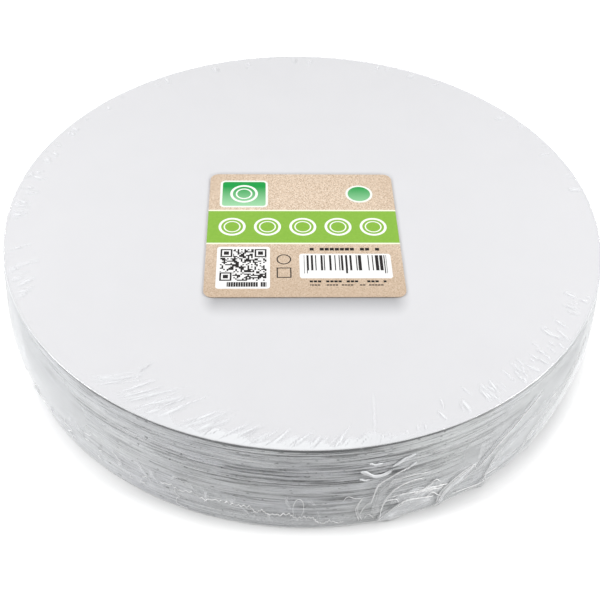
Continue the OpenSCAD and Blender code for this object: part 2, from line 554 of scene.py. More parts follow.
# How much a board is cut under size, which a few are further, in millimetres
SHORT = (0.06, 0.26)
SHORTER = (0.1, 0.35)
SHORTER_SHARE = 0.2
SHORT_ON_TOP = 0.15
OFF_CENTRE = 0.12
# Waves in the cut, as cycles round the board, turns and size in millimetres
RAGGED = ((7, 3, 0.05), (19, 5, 0.04), (43, 1, 0.03))


def plain_plate():
    """One round board, lying on the pile's bottom, with a band along its edge that can bend."""
    deselect()
    bpy.ops.mesh.primitive_circle_add(
        vertices=BOARD_SIDES, radius=PLATE_R, fill_type="NGON", location=(0, 0, pile_low.z)
    )
    board = named("board")
    bpy.ops.object.mode_set(mode="EDIT")
    bpy.ops.mesh.inset(thickness=BAND, use_select_inset=False)
    bpy.ops.mesh.select_all(action="SELECT")
    bpy.ops.mesh.extrude_region_move(TRANSFORM_OT_translate={"value": (0, 0, PLATE_T)})
    face_outwards()
    return settle(board)


def edge_lifts(a):
    """How far each plate's edge lies above its even place, and the gap above it, a row for each plate.

    The air between the boards is shared out unevenly along the edge, and its sum stays what it is."""
    air = PITCH - PLATE_T
    shares = np.zeros((PLATES - 1, len(a)))
    for gap in range(PLATES - 1):
        wave = np.zeros(len(a))
        for cycles, size in GAP_WAVES:
            wave += size * random.uniform(0.3, 1.0) * np.cos(cycles * a + random.uniform(0, FULL_TURN))
        half = int(gap > PLATES / 2)
        shares[gap] = np.exp(GAP_WAVE_STRENGTH * wave + random.choice(GAP_SIZES, p=GAP_SHARES[half]))
    free = air * (PLATES - 1) - TOP_GAP
    gaps = EVEN_SHARE * free / (PLATES - 1) + shares / shares.sum(0) * (1 - EVEN_SHARE) * free
    gaps[-1] += TOP_GAP
    even = air * np.arange(1, PLATES)[:, None]
    none = np.zeros(len(a))
    return np.vstack([none, np.cumsum(gaps, axis=0) - even]), np.vstack([none, gaps])


def cut_short(a, index):
    """How far a board is cut under size along its edge."""
    under = random.uniform(*SHORT) + (random.uniform(*SHORTER) if random.uniform() < SHORTER_SHARE else 0)
    if index >= PLATES - 3:
        under = SHORT_ON_TOP
    way = random.uniform(0, FULL_TURN)
    ragged = sum(size * np.cos(cycles * a + turns * way) for cycles, turns, size in RAGGED)
    return (under + ragged + OFF_CENTRE * np.cos(a - way)) * MM


def darkness(a, beside, index):
    """How much painted shade a board's edge gets, from the gaps beside it and from the top plate over it."""
    if index in UNDER_TOP:
        least, more = UNDER_TOP[index]
        return least + more * hill(a, *np.radians(DARK_BROAD))
    return np.clip(beside / DARK_GAP, 0, 1.2) * (0.2 + 0.7 * hill(a, *np.radians(DARK_FRONT)))


def build_pile(material):
    """Groups of plates, each board a little off centre, under size and uneven along its edge."""
    board = plain_plate()
    flat = places(board)
    on_edge = np.hypot(flat[:, 0], flat[:, 1]) > PLATE_R - BAND / 2
    a = np.arctan2(flat[on_edge, 1], flat[on_edge, 0])
    lifts, gaps = edge_lifts(a)
    upper = flat[on_edge, 2] > pile_low.z + PLATE_T / 2
    for group in range(GROUPS):
        boards = []
        for index in range(group * PLATES_IN_GROUP, (group + 1) * PLATES_IN_GROUP):
            copy = board.copy()
            copy.data = board.data.copy()
            bpy.context.scene.collection.objects.link(copy)
            points = flat.copy()
            points[on_edge, :2] *= (1 - cut_short(a, index) / PLATE_R)[:, None]
            points[:, 2] += index * PITCH
            points[on_edge, 2] += lifts[index]
            move_to(copy, points)
            # How much painted shade each vertex on the edge gets from the gaps beside it
            painted_gap_shade = np.zeros(len(points))
            painted_gap_shade[on_edge] = darkness(a, np.where(upper, gaps[index + 1], gaps[index]), index)
            weigh(copy, "painted_gap_shade", painted_gap_shade)
            boards.append(copy)
        pick(boards[0])
        for copy in boards:
            copy.select_set(True)
        bpy.ops.object.join()
        pile = named(f"plate_pile_{group + 1}")
        smooth(pile, 40)
        finish_piece(pile, material, "plate_paper", f"plates_{group + 1}")
    bpy.data.objects.remove(board)


def build_top_plate(material):
    """The plate on top, true and full size, with its upper edge a little rounded."""
    deselect()
    middle_z = (top_low.z + top_high.z) / 2
    bpy.ops.mesh.primitive_cylinder_add(
        vertices=TOP_PLATE_SIDES, radius=PLATE_R, depth=PLATE_T, location=(0, 0, middle_z)
    )
    plate = named("plate_on_top")
    apply_modifier("BEVEL", width=TOP_BEVEL, segments=2, limit_method="ANGLE")
    settle(plate)
    smooth(plate, 40)
    finish_piece(plate, material, "plate_paper", "top_plate")


# Film

COLUMNS = 900
SIDE_RINGS = 74
# The film's flat top lies this far under the label
UNDER_LABEL = 0.05 * MM
# Steps inward over the top, in millimetres
TOP_STEPS = [0.5] * 4 + [0.75] * 26 + [3.0] * 2 + [6.0]
# The columns stand closer together round this direction, where most of the folds are
CLOSE_AT = -80
CLOSER = 0.62
# The crumpled film's creases climb to the right at this angle
CREASE_LEAN = math.radians(40)
NEARLY_NOTHING = 1e-6
# The milky band along the edge, which is a painted sheen at the front: where and how widely it lies, in
# degrees, its reach inward in millimetres, the waves in it as cycles, start and size, and how milky the band
# and the lip of the edge are
SHEEN_BAND = (-93, 19)
EDGE_REACH = 3.9
EDGE_WAVES = ((31, 0, 1.3), (83, 40, 0.8))
SHEEN_MILK = 0.68
LIP_MILK = 0.5


def plain_film():
    """A closed drum of film with rings up its side and rings in over its top."""
    deselect()
    skin_top = PACK_H - UNDER_LABEL
    bpy.ops.mesh.primitive_cylinder_add(
        vertices=COLUMNS, radius=FILM_R, depth=skin_top, location=(0, 0, skin_top / 2)
    )
    drum = settle(named("film_skin"))
    points = places(drum)
    select_parts(drum, "EDGE", lambda edge: np.ptp(points[list(edge.vertices), 2]) > skin_top / 2)
    bpy.ops.mesh.subdivide(number_cuts=SIDE_RINGS)
    select_parts(drum, "FACE", lambda face: face.normal.z > 0.5)
    for step in TOP_STEPS:
        bpy.ops.mesh.inset(thickness=step * MM)
    bpy.ops.object.mode_set(mode="OBJECT")
    points = places(drum)
    radius = np.hypot(points[:, 0], points[:, 1])
    a = np.arctan2(points[:, 1], points[:, 0])
    a -= CLOSER * np.sin(a - math.radians(CLOSE_AT))
    points[:, 0], points[:, 1] = radius * np.cos(a), radius * np.sin(a)
    move_to(drum, points)
    return drum, skin_top


class Film:
    """The film's surface, whose places are a direction and the way inward from the top's edge, less than 0
    below it. Every way and height here is in millimetres."""

    def __init__(self, drum, skin_top):
        self.drum = drum
        self.skin_top = skin_top
        self.points = places(drum)
        x, y, self.z = self.points.T
        self.radius = np.hypot(x, y)
        self.a = np.degrees(np.arctan2(y, x))
        self.on_top = self.z > skin_top - NEARLY_NOTHING
        self.on_side = ~self.on_top & (self.z > NEARLY_NOTHING)
        self.inward = np.where(self.on_top, FILM_R - self.radius, self.z - skin_top) / MM
        self.height, self.milk, self.shade, self.crush = np.zeros((4, len(self.z)))

    def turned(self, a):
        """The distance along the edge from direction a, in millimetres."""
        return along_wall(turn_from(a, self.a))

    def pleat(self, a, middle, length, width, height, slant=0.0, bow=0.0, milk=0.0, dark=0.0):
        """A narrow ridge that runs in from the edge, tapered to both ends, with painted shade on one flank.
        """
        v = self.inward - middle
        reach = abs(slant) * length + 4 * width + abs(bow) * length * length
        near = (np.abs(v) < length / 2) & (np.abs(self.turned(a)) < reach)
        v = v[near]
        u = self.turned(a)[near] - slant * v - bow * v**2
        taper = np.cos(np.pi * v / length) ** 1.2
        crest = hill(u, 0, width) * taper
        # dark sets how much painted shade lies on the flank beside the crest
        aside = math.copysign(1.25 * width, dark)
        flank = abs(dark) * hill(u, aside, 0.45 * width) * taper
        self.height[near] = np.maximum(self.height[near], height * crest)
        self.milk[near] = np.maximum(self.milk[near], np.maximum(milk * crest, 0.4 * flank))
        deeper = np.maximum(self.shade[near], flank)
        self.shade[near] = np.where(flank > crest, deeper, self.shade[near] * (1 - crest))

    def ridge(self, path, width, height, milk=0.0, sharp=1.0, crush=0.0):
        """A fold along a path on the side, given as directions and heights in millimetres."""
        route = eased(path)
        a_mid = route[:, 0].mean()
        u, w = self.turned(a_mid), self.z / MM
        line_u, line_w = along_wall(route[:, 0] - a_mid), route[:, 1]
        inside = self.on_side & (u > line_u.min() - 4 * width) & (u < line_u.max() + 4 * width)
        inside &= (w > line_w.min() - 4 * width) & (w < line_w.max() + 4 * width)
        side = np.nonzero(inside)[0]
        u, w = u[side], w[side]
        best = np.full(len(side), np.inf)
        reach = np.zeros(len(side))
        pieces = len(route) - 1
        for i in range(pieces):
            du, dw = line_u[i + 1] - line_u[i], line_w[i + 1] - line_w[i]
            t = np.clip(((u - line_u[i]) * du + (w - line_w[i]) * dw) / (du * du + dw * dw), 0, 1)
            gap = np.hypot(u - line_u[i] - t * du, w - line_w[i] - t * dw)
            closer = gap < best
            best[closer] = gap[closer]
            reach[closer] = ((i + t) / pieces)[closer]
        taper = np.clip(np.sin(np.pi * reach), 0, 1) ** 0.5
        crest = np.exp(-((best / width) ** (1 + sharp))) * taper
        for values, size in ((self.height, height), (self.milk, milk), (self.crush, crush)):
            values[side] = np.maximum(values[side], size * crest)

    def edge_milk_and_sheen(self):
        """The film is a little milky where it turns over the edge, and milkier in a band at the front, which
        is a painted sheen.
        """
        front = hill(turn_from(SHEEN_BAND[0], self.a), 0, SHEEN_BAND[1])
        uneven = (size * np.sin(np.radians(self.a * cycles + start)) for cycles, start, size in EDGE_WAVES)
        # The band at the front is a painted sheen
        band = np.clip((sum(uneven) + EDGE_REACH - self.inward) / 1.2, 0, 1) * np.clip(front * 1.4, 0, 1)
        lip = hill(self.inward, 0, 0.45)
        milky = np.maximum(band * SHEEN_MILK, lip * LIP_MILK) * self.on_top
        self.milk = np.maximum(self.milk, milky * (1 - 0.6 * self.shade))

    def bulge(self, direction, spread, size):
        """Lets the film stand clear of the pile round a direction, most of all at half its height."""
        down = np.clip(1 - self.z / self.skin_top, 0, 1)
        clear = np.sin(np.pi * down**0.85) * hill(self.turned(direction), 0, spread) * self.on_side
        self.height += size * clear
        self.milk = np.maximum(self.milk, 0.5 * clear)

    def lift_at(self, u, w):
        """How far the film stands out at places along and up the wall, in millimetres."""
        side = self.on_side
        own_u, own_w, own = along_wall(self.a[side]), self.z[side] / MM, self.height[side]
        return np.array([own[np.argmin((own_u - p) ** 2 + (own_w - q) ** 2)] for p, q in zip(u, w)])

    def settle(self):
        """Moves the film out by its height, and keeps what the material reads."""
        side, top = self.on_side, self.on_top
        out = self.height * MM
        self.points[side, :2] *= (1 + out[side] / self.radius[side])[:, None]
        self.points[top, 2] += out[top]
        move_to(self.drum, self.points)
        u, w = along_wall(self.a), self.z / MM
        weigh(self.drum, "gathered", self.milk)
        weigh(self.drum, "shaded", self.shade)
        weigh(self.drum, "crumpled", self.crush)
        weigh(self.drum, "along", u * math.cos(CREASE_LEAN) + w * math.sin(CREASE_LEAN))
        weigh(self.drum, "across", w * math.cos(CREASE_LEAN) - u * math.sin(CREASE_LEAN))


# Where the gathers crowd: direction and spread in degrees, count, length, way in from the edge, slant and
# how wide they are
GATHERS = (
    (-122, 2.5, 7, 12, 2.4, 1.0, 1.0),
    (-114, 4.0, 15, 11, 2.2, 1.05, 1.0),
    (-104, 4.5, 20, 9, 1.6, 1.05, 1.0),
    (-94, 5.0, 24, 6, 1.2, 1.0, 1.0),
    (-82, 5.5, 20, 5, 1.0, 0.85, 1.0),
    (-70, 5.0, 6, 5, 1.5, 0.10, 0.6),
    (-56, 4.0, 12, 6, 4.5, 0.10, 0.55),
    (-46, 4.0, 23, 6, 4.0, 0.05, 0.55),
    (-36, 3.5, 16, 6, 4.0, 0.10, 0.6),
    (-27, 3.0, 6, 6, 3.5, 0.20, 0.7),
    (-157, 4.0, 8, 8, 2.5, -0.30, 1.0),
    (178, 7.0, 14, 7, 1.5, -0.15, 1.0),
    (160, 8.0, 8, 4, 2.5, 0.0, 1.0),
    (75, 45.0, 22, 5, 2.0, 0.0, 1.0),
)
# Small gathers anywhere along the edge
LOOSE_GATHERS = 90
# Single marks on the top: direction, way in, length, width, height, slant, bow, milkiness and the painted
# shade of the flank
MARKS = (
    (-122.2, 17.3, 8.0, 0.80, 0.10, 0.25, 0.0, 0.15, 1.25),
    (-120.1, 9.8, 14.0, 0.60, 0.20, 0.69, 0.0, 0.70, 0.60),
    (-121.6, 12.5, 3.0, 0.45, 0.15, 0.20, 0.0, 0.50, 0.90),
    (-118.0, 7.5, 12.0, 0.90, 0.10, 1.10, 0.0, 0.65, 0.50),
    (-76.2, 12.0, 20.0, 0.50, 0.06, 0.27, 0.0, 0.30, 0.40),
    (-126.0, 6.5, 6.0, 1.50, 0.05, 1.20, 0.0, 0.60, 0.10),
)
# The widths that a pleat can have, in millimetres
PLEAT_WIDTHS = (0.35, 0.5, 0.7, 0.9, 1.3)


def gather_film(film):
    """Pleats round the edge of the top, where the film has shrunk over it."""
    for middle, spread, count, length, way_in, slant, wide in GATHERS:
        for _ in range(count):
            long = length * random.uniform(0.45, 1.35)
            start = way_in * random.uniform(0.0, 1.7)
            width = min(random.choice(PLEAT_WIDTHS), long / 6) * wide
            film.pleat(
                random.normal(middle, spread), start + long / 2, long, width,
                random.uniform(0.08, 0.24), slant + random.normal(0, 0.2), random.normal(0, 0.008),
                random.uniform(0.3, 0.85), random.choice([-1, 1]) * random.uniform(0.2, 0.9),
            )
    for mark in MARKS:
        film.pleat(*mark)
    for _ in range(LOOSE_GATHERS):
        long = random.uniform(2, 7)
        film.pleat(
            random.uniform(-180, 180), random.uniform(-3, 2), long, random.uniform(0.5, 0.9),
            random.uniform(0.05, 0.2), random.normal(0, 0.3), 0.0, random.uniform(0, 0.2),
        )
    film.edge_milk_and_sheen()


# Folds of the bundle at the front right, each a path of directions and heights,
# with its width, height and milkiness
FOLDS = (
    (((-77.3, 12), (-76.9, 18.3), (-75.9, 23.7), (-73.6, 26.9), (-70.3, 30.5)), 0.7, 0.35, 0.12),
    (((-75.5, 1.8), (-75.3, 10.2), (-74.2, 16.8), (-72.6, 20), (-68.3, 21)), 0.7, 0.40, 0.15),
    (((-74.5, 19), (-73.8, 23.7), (-71, 23.8), (-67.1, 22.5)), 0.6, 0.20, 0.10),
    (((-75.9, 1.4), (-74.1, 5.7), (-72.1, 9.3), (-69, 9.5), (-65.8, 7.6)), 0.7, 0.35, 0.20),
    (((-74.3, 14.2), (-71.4, 14.7), (-69, 13.6), (-66.5, 15.8), (-65, 15.3)), 0.6, 0.30, 0.20),
    (((-64.5, 1), (-63.4, 8.9), (-60.2, 13.5), (-57.7, 15.5)), 0.9, 0.15, 0.15),
    (((-58.5, 9), (-55.7, 16.2), (-52.7, 22.5), (-49, 28), (-43.5, 34.5)), 0.7, 0.35, 0.15),
    (((-56, 1.5), (-54.2, 7.7), (-52.6, 14.9), (-51, 17.5)), 0.6, 0.25, 0.12),
    (((-50.5, 12.2), (-46.9, 18.8), (-42, 23.2), (-38, 26)), 0.8, 0.20, 0.12),
    (((-43, 1), (-38, 14), (-32, 26), (-25, 37)), 1.2, 0.12, 0.10),
    (((-73.6, -3), (-73.3, 3.5)), 4.2, 1.0, 0.12),
    (((-64.6, -3), (-64.3, 4)), 3.0, 0.7, 0.15),
    (((-55.6, -3), (-55.2, 4)), 4.0, 1.6, 0.15),
    (((-43, -3), (-42.5, 4)), 3.5, 0.6, 0.10),
)
# Where the film is hazy and crumpled: a path, width, milkiness and how crumpled
HAZES = (
    (((-76, 3), (-76, 12), (-74.8, 20), (-71, 25)), 2.4, 0.30, 0.0),
    (((-75, 1), (-72, 4.5), (-68, 5), (-64.8, 3)), 4.0, 0.76, 0.25),
    (((-74, 12), (-70, 12), (-66, 11), (-63.5, 8)), 3.6, 0.72, 0.45),
    (((-65, 2), (-62.5, 9), (-59.5, 14), (-57.5, 16)), 3.2, 0.78, 0.10),
    (((-57, 14), (-56.9, 22), (-56.7, 29)), 1.7, 0.50, 0.0),
    (((-56, 4), (-52, 13), (-48, 18), (-40, 26)), 6.5, 0.42, 0.10),
    (((-52, 23), (-47, 30), (-43, 35)), 2.2, 0.60, 0.0),
    (((-72, 30), (-64, 30), (-56, 24)), 7.0, 0.12, 0.0),
    (((-68, 24), (-45, 24), (-20, 25), (20, 25)), 25.0, 0.44, 0.0),
    (((-200, 25), (-160, 25), (-122, 24)), 25.0, 0.47, 0.0),
    (((-122, 6), (-100, 4.5), (-85, 4), (-76, 5)), 6.0, 0.22, 0.12),
    (((-95, 3), (-84, 3), (-76, 5)), 4.0, 0.34, 0.20),
)
# Where the film stands clear of the pile: direction, spread and size in millimetres
BULGES = ((-151, 27.0, 2.9), (-29, 26.0, 2.5))
# Small puckers low on the wall, from the left round to the front: how many, and between which directions
PUCKERS = 46
PUCKERS_LEFT = (-172, -130)
PUCKERS_FRONT = (-130, -85)


def fold_film(film):
    """The bundle of folds where the slack was drawn together, and the puckers near the foot."""
    for path, width, height, milk in FOLDS:
        film.ridge(path, width, height, milk, 0.4)
    for path, width, milk, crush in HAZES:
        film.ridge(path, width, 0.0, milk, 1.0, crush)
    for _ in range(PUCKERS):
        a = random.choice([random.uniform(*PUCKERS_LEFT), random.uniform(*PUCKERS_FRONT)])
        low = random.uniform(1, 14)
        lean = random.uniform(-3, 1)
        tall = random.uniform(3, 9)
        middle = (a + lean / 2 + random.uniform(-0.6, 0.6), low + tall / 2)
        path = ((a, low), middle, (a + lean, low + tall))
        film.ridge(path, random.uniform(0.45, 0.8), random.uniform(0.15, 0.5), random.uniform(0.1, 0.6), 0.6)
    for bulge in BULGES:
        film.bulge(*bulge)


def build_film(material):
    """The skin of film over the whole pile, with its gathers and folds."""
    film = Film(*plain_film())
    gather_film(film)
    fold_film(film)
    film.settle()
    pick(film.drum)
    bpy.ops.object.shade_smooth()
    finish_piece(film.drum, material, "shrink_film", "shrink_film")
    return film


# Loose sheets of film that lie folded over the bundle: a path, width, arch, milkiness, edge and how crumpled
SHEETS = (
    (((-76.4, 3), (-76.2, 12), (-75, 20), (-71.5, 25.5)), 3.4, 0.10, 0.05, 0.10, 0.0),
    (((-76, 2), (-72.5, 5.5), (-69, 6), (-66.2, 5)), 6.0, 0.25, 0.46, 0.50, 0.20),
    (((-74, 10.5), (-70.8, 12), (-68, 12.5), (-65.4, 11.3)), 5.0, 0.22, 0.40, 0.45, 0.35),
    (((-64.6, 1.5), (-63, 8), (-60.5, 12), (-57.2, 15.6)), 4.6, 0.25, 0.60, 0.45, 0.15),
    (((-57.4, 12.5), (-54.8, 18.3), (-51.4, 24.5), (-46, 32), (-43.5, 35)), 2.8, 0.12, 0.25, 0.35, 0.0),
    (((-55, 3), (-52.5, 11), (-49, 17), (-43, 23), (-38, 28)), 4.5, 0.12, 0.20, 0.30, 0.05),
    (((-46, 3), (-41, 15), (-35, 27), (-29, 38)), 6.0, 0.08, 0.06, 0.08, 0.0),
    (((-79.8, 31.5), (-78.8, 30.2), (-77.2, 27.6), (-75.5, 27.8), (-74.2, 29.8)), 1.8, 0.20, 0.95, 0.0, 0.0),
    (((-74.4, 31.2), (-73.2, 32.8), (-71.8, 34.3), (-70.4, 35.6)), 1.6, 0.20, 0.95, 0.0, 0.0),
    (((-71.8, 27.8), (-71, 29.3), (-70, 30.9)), 1.0, 0.12, 0.90, 0.0, 0.0),
    (((-78.4, 35.4), (-77.4, 34), (-75.9, 34.2)), 1.1, 0.12, 0.90, 0.0, 0.0),
    (((-79.8, 27.2), (-78.8, 26.1), (-77.9, 26.1)), 1.1, 0.12, 0.90, 0.0, 0.0),
)
# A sheet's steps along and across, its wrinkles, and its wall
SHEET_STEPS = 90
SHEET_ACROSS = 44
SHEET_WRINKLES = 4
SHEET_T = 0.06 * MM
# How far a sheet lies off the film, and how near it comes to the base and the top, in millimetres
SHEET_OFF = 0.05
FROM_BASE = 0.4
FROM_TOP = 0.8
MOST_MILK = 0.95


def wrinkles_in(along, across):
    """Short sharp wrinkles on a sheet, 1 on a wrinkle and 0 elsewhere."""
    wrinkles = np.zeros(len(across))
    for _ in range(SHEET_WRINKLES):
        middle = random.uniform(-0.8, 0.8) + random.uniform(-0.6, 0.6) * (along - 0.5)
        middle = middle + 0.12 * np.sin(7 * along + random.uniform(0, FULL_TURN))
        where = hill(along, random.uniform(0.2, 0.8), random.uniform(0.12, 0.3))
        wrinkles = np.maximum(wrinkles, where * hill(across, middle, 0.08))
    return wrinkles


def film_sheet(name, film, path, width, arch, milk, edge, crush, material):
    """A narrow sheet of film along a path on the wall, arched and crumpled, with pale edges."""
    deselect()
    bpy.ops.mesh.primitive_grid_add(x_subdivisions=SHEET_STEPS, y_subdivisions=SHEET_ACROSS, size=2)
    sheet = named(name)
    points = places(sheet)
    along, across = (points[:, 0] + 1) / 2, points[:, 1]
    phases = random.uniform(0, FULL_TURN, 8)
    half = width / 2 * (0.25 + 0.75 * np.sin(np.pi * along) ** 0.6)
    half *= 1 + 0.16 * np.sin(9 * along + phases[0]) + 0.10 * np.sin(21 * along + phases[1])

    # The middle line, and the way to the side of it
    route = eased(path)
    line_u, line_w = along_wall(route[:, 0]), route[:, 1]
    step = np.linspace(0, 1, len(route))
    du, dw = np.gradient(line_u, step), np.gradient(line_w, step)
    size = np.hypot(du, dw)
    u = np.interp(along, step, line_u) + np.interp(along, step, -dw / size) * half * across
    w = np.interp(along, step, line_w) + np.interp(along, step, du / size) * half * across

    wrinkles = wrinkles_in(along, across)
    slow = 0.12 * np.sin(7 * along + 2 * across + phases[2])
    slow += 0.08 * np.sin(13 * along - 3 * across + phases[3])
    arched = (0.05 + arch * (1 + slow)) * (1 - across**2)
    out = SHEET_OFF + arched + 0.5 * arch * wrinkles + film.lift_at(u, w)
    w = np.clip(w, FROM_BASE, PACK_H / MM - FROM_TOP)
    a = u * MM / FILM_R
    radius = FILM_R + out * MM
    move_to(sheet, np.column_stack([radius * np.cos(a), radius * np.sin(a), w * MM]))

    pale = hill(np.abs(across), 1, 0.07) * (0.55 + 0.45 * np.sin(17 * along + phases[6]))
    haze = milk * (1 + 2 * slow) + edge * np.maximum(pale, 0.6 * wrinkles)
    ends = np.clip(np.sin(np.pi * along) * 4, 0, 1)
    weigh(sheet, "gathered", np.clip(haze * ends, 0, MOST_MILK))
    weigh(sheet, "crumpled", crush * ends)
    weigh(sheet, "along", along * np.hypot(np.diff(line_u), np.diff(line_w)).sum())
    weigh(sheet, "across", across * half)

    pick(sheet)
    bpy.ops.object.mode_set(mode="EDIT")
    face_outwards()
    apply_modifier("SOLIDIFY", thickness=SHEET_T, offset=0)
    bpy.ops.object.shade_smooth()
    finish_piece(sheet, material, "shrink_film")


def build_sheets(film, material):
    """The loose sheets over the bundle."""
    for number, row in enumerate(SHEETS):
        film_sheet(f"film_fold_{number + 1}", film, *row, material)


# Fine raised lines: the weld's torn edge, the folds' sharp edges and two small bubbles' outlines
WELD_EDGE = (
    (-114, 11), (-111.5, 12), (-110, 10.5), (-107.7, 12), (-106, 9.7), (-103.5, 11.2), (-101.5, 11),
    (-99.5, 11), (-97.7, 11), (-96.6, 8.2), (-95.6, 9.8), (-94.7, 8), (-93, 7.7), (-91, 8.8),
    (-90, 6.3), (-88.5, 6.9), (-87, 6.7), (-86.2, 3.8), (-85.3, 3), (-84.2, 4.5), (-82.8, 2.6), (-81.8, 3.5),
)
CREASES = (
    (
        (
            (-77.3, 12), (-77.1, 14.9), (-76.6, 21.3), (-75.9, 23.7), (-73.6, 26.9), (-71.5, 28.9),
            (-70.3, 30.5),
        ),
        0.19,
    ),
    (
        ((-74.5, 19), (-74.3, 22.3), (-73.8, 23.7), (-72.8, 23.5), (-71, 23.8), (-69.2, 23.4), (-67.1, 22.5)),
        0.12,
    ),
    (((-55, 4.6), (-54.2, 7.7), (-53.3, 12.5), (-51.9, 15.6)), 0.14),
    (((-61.7, 3.2), (-58.2, 2.4), (-55.8, 2.7), (-54.1, 4.2), (-51.4, 4.1)), 0.16),
    (((-48.1, 17.3), (-45.4, 20.2), (-42, 23.2), (-38.1, 25.4)), 0.12),
    (((-79.1, 2.7), (-79.8, 9.7), (-79.1, 14.8), (-78.6, 16.3)), 0.11),
    (((-78.6, 3), (-79, 6.3), (-78.1, 11.6), (-77.3, 12)), 0.11),
    (((-78.2, 3.5), (-77.6, 5.6), (-77, 4.6), (-76.4, 2.4)), 0.11),
    (((-90.2, 6.6), (-90.4, 12.6), (-89.8, 17), (-88.9, 16.5), (-88.6, 11.6), (-89, 7.3)), 0.09),
    (((-82.2, 15), (-81.4, 17.7), (-80.2, 16.4), (-79, 15.3), (-79.5, 11), (-79.1, 3.3)), 0.09),
)
# Those that lie on the sheets
SHEET_CREASES = (
    (((-75.5, 1.8), (-75.3, 10.2), (-74.2, 16.8), (-72.6, 20), (-70.5, 21.1), (-68.3, 20.8)), 0.20),
    (
        ((-74.3, 14.2), (-72.3, 14.5), (-70.1, 14.1), (-69, 13.7), (-67.2, 15.1), (-65.9, 17.1), (-65, 15.3)),
        0.18,
    ),
    (((-69, 13.4), (-66.7, 13.1), (-64.4, 12.2), (-63.3, 11.6)), 0.19),
    (((-70, 12.3), (-68.2, 12.6), (-66, 12.2), (-64.6, 12.9)), 0.16),
    (((-68.5, 11.1), (-66.3, 11.7), (-65.1, 11), (-64.1, 11)), 0.18),
    (((-69.5, 9.6), (-67.4, 8.6), (-66.2, 9.9), (-65, 7.3), (-64.3, 5.9)), 0.16),
    (((-74.7, 12.8), (-73.6, 12.3), (-72.9, 12.1), (-72.4, 10.1)), 0.15),
    (((-75.9, 1.4), (-74.1, 5.7), (-72.8, 8.3), (-71.2, 10), (-69, 9.5), (-66.6, 7.9), (-65.8, 7.6)), 0.20),
    (
        ((-64.5, 2.5), (-64.1, 6.2), (-63.4, 8.9), (-61.4, 12.7), (-59.1, 14.9), (-58.1, 16), (-57.4, 12.9)),
        0.15,
    ),
    (((-64.9, 2.3), (-64.2, 4.6), (-63.6, 6.2), (-63.1, 8.7)), 0.11),
    (((-63.1, 2.6), (-61.9, 5.9), (-60.5, 8.8), (-59, 10.9), (-57.8, 12.2)), 0.11),
    (((-65, 2.8), (-64.7, 6.4), (-64, 9.3), (-62, 13.1), (-59.8, 15.3), (-58.3, 16.3)), 0.16),
    (((-57.4, 12.5), (-55.7, 16.2), (-53.7, 20.6), (-51.4, 23.9), (-48.5, 28.8), (-44, 34.2)), 0.19),
)
# Short squiggles of creased film low on the wall at the left
SQUIGGLES = 26
# Thickness of the torn edge and of the squiggles, and how much wider the traced lines are drawn
TORN_EDGE = 0.2
SQUIGGLE = 0.11
BOLD = 1.3
# How far a line lies off the film and off a sheet
OFF_FILM = 0.06
OFF_SHEET = 0.40
# Teeth between two points of the torn edge, and their size
TEETH = 4
TOOTH = 0.75


def torn_edge():
    """The weld's edge with small teeth between each two of its points."""
    route = []
    for (a, z), (next_a, next_z) in zip(WELD_EDGE, WELD_EDGE[1:]):
        for share in np.arange(TEETH) / TEETH:
            tooth = TOOTH * (-1) ** len(route) * random.uniform(0.3, 1.0)
            route.append((a + (next_a - a) * share, max(0.5, z + (next_z - z) * share + tooth)))
    return np.array([*route, WELD_EDGE[-1]])


def add_line(curve, film, route, thickness, off=OFF_FILM):
    """One fine line over the film, thinner towards its ends."""
    u = along_wall(route[:, 0])
    radius = FILM_R + (film.lift_at(u, route[:, 1]) + off) * MM
    spline = curve.splines.new("POLY")
    spline.points.add(len(route) - 1)
    for i, point in enumerate(spline.points):
        a = math.radians(route[i, 0])
        point.co = (radius[i] * math.cos(a), radius[i] * math.sin(a), route[i, 1] * MM, 1)
        taper = 0.35 + 0.65 * math.sin(math.pi * i / (len(route) - 1)) ** 0.5
        point.radius = thickness * taper * random.uniform(0.7, 1.2)


def build_creases(film, material):
    """All raised lines as one piece of thin rounded strands."""
    deselect()
    curve = bpy.data.curves.new("film_creases", "CURVE")
    curve.dimensions = "3D"
    curve.bevel_depth = MM
    curve.bevel_resolution = 1
    curve.use_fill_caps = True
    add_line(curve, film, torn_edge(), TORN_EDGE)
    for rows, off in ((CREASES, OFF_FILM), (SHEET_CREASES, OFF_SHEET)):
        for path, thickness in rows:
            add_line(curve, film, eased(path, 10), thickness * BOLD, off)
    for _ in range(SQUIGGLES):
        start = random.uniform(-176, -108), random.uniform(3, 15)
        steps = random.normal(0, 1, (4, 2)) * (0.5, 1.1) + (0.25, -0.3)
        path = np.cumsum([start, *steps], axis=0).clip((-200, 1), (0, 40))
        add_line(curve, film, eased(path, 6), SQUIGGLE)
    creases = bpy.data.objects.new("film_creases", curve)
    bpy.context.scene.collection.objects.link(creases)
    pick(creases)
    bpy.ops.object.convert(target="MESH")
    creases = bpy.context.object
    smooth(creases, 60)
    finish_piece(creases, material, "shrink_film")


# Label

INK_NOISE = (900.0, 3.0, 0.6)
INK_RELIEF = 0.02 * MM
CARD_MOTTLE = (800.0, 3.0, 0.7)
CARD_SPECKS = (1700.0, 0.0)
CARD_FLECKS = (1300.0, 1.0)
CARD_RELIEF = 0.04 * MM
# How much of the light card and ink mirror
CARD_SPECULAR = 0.2

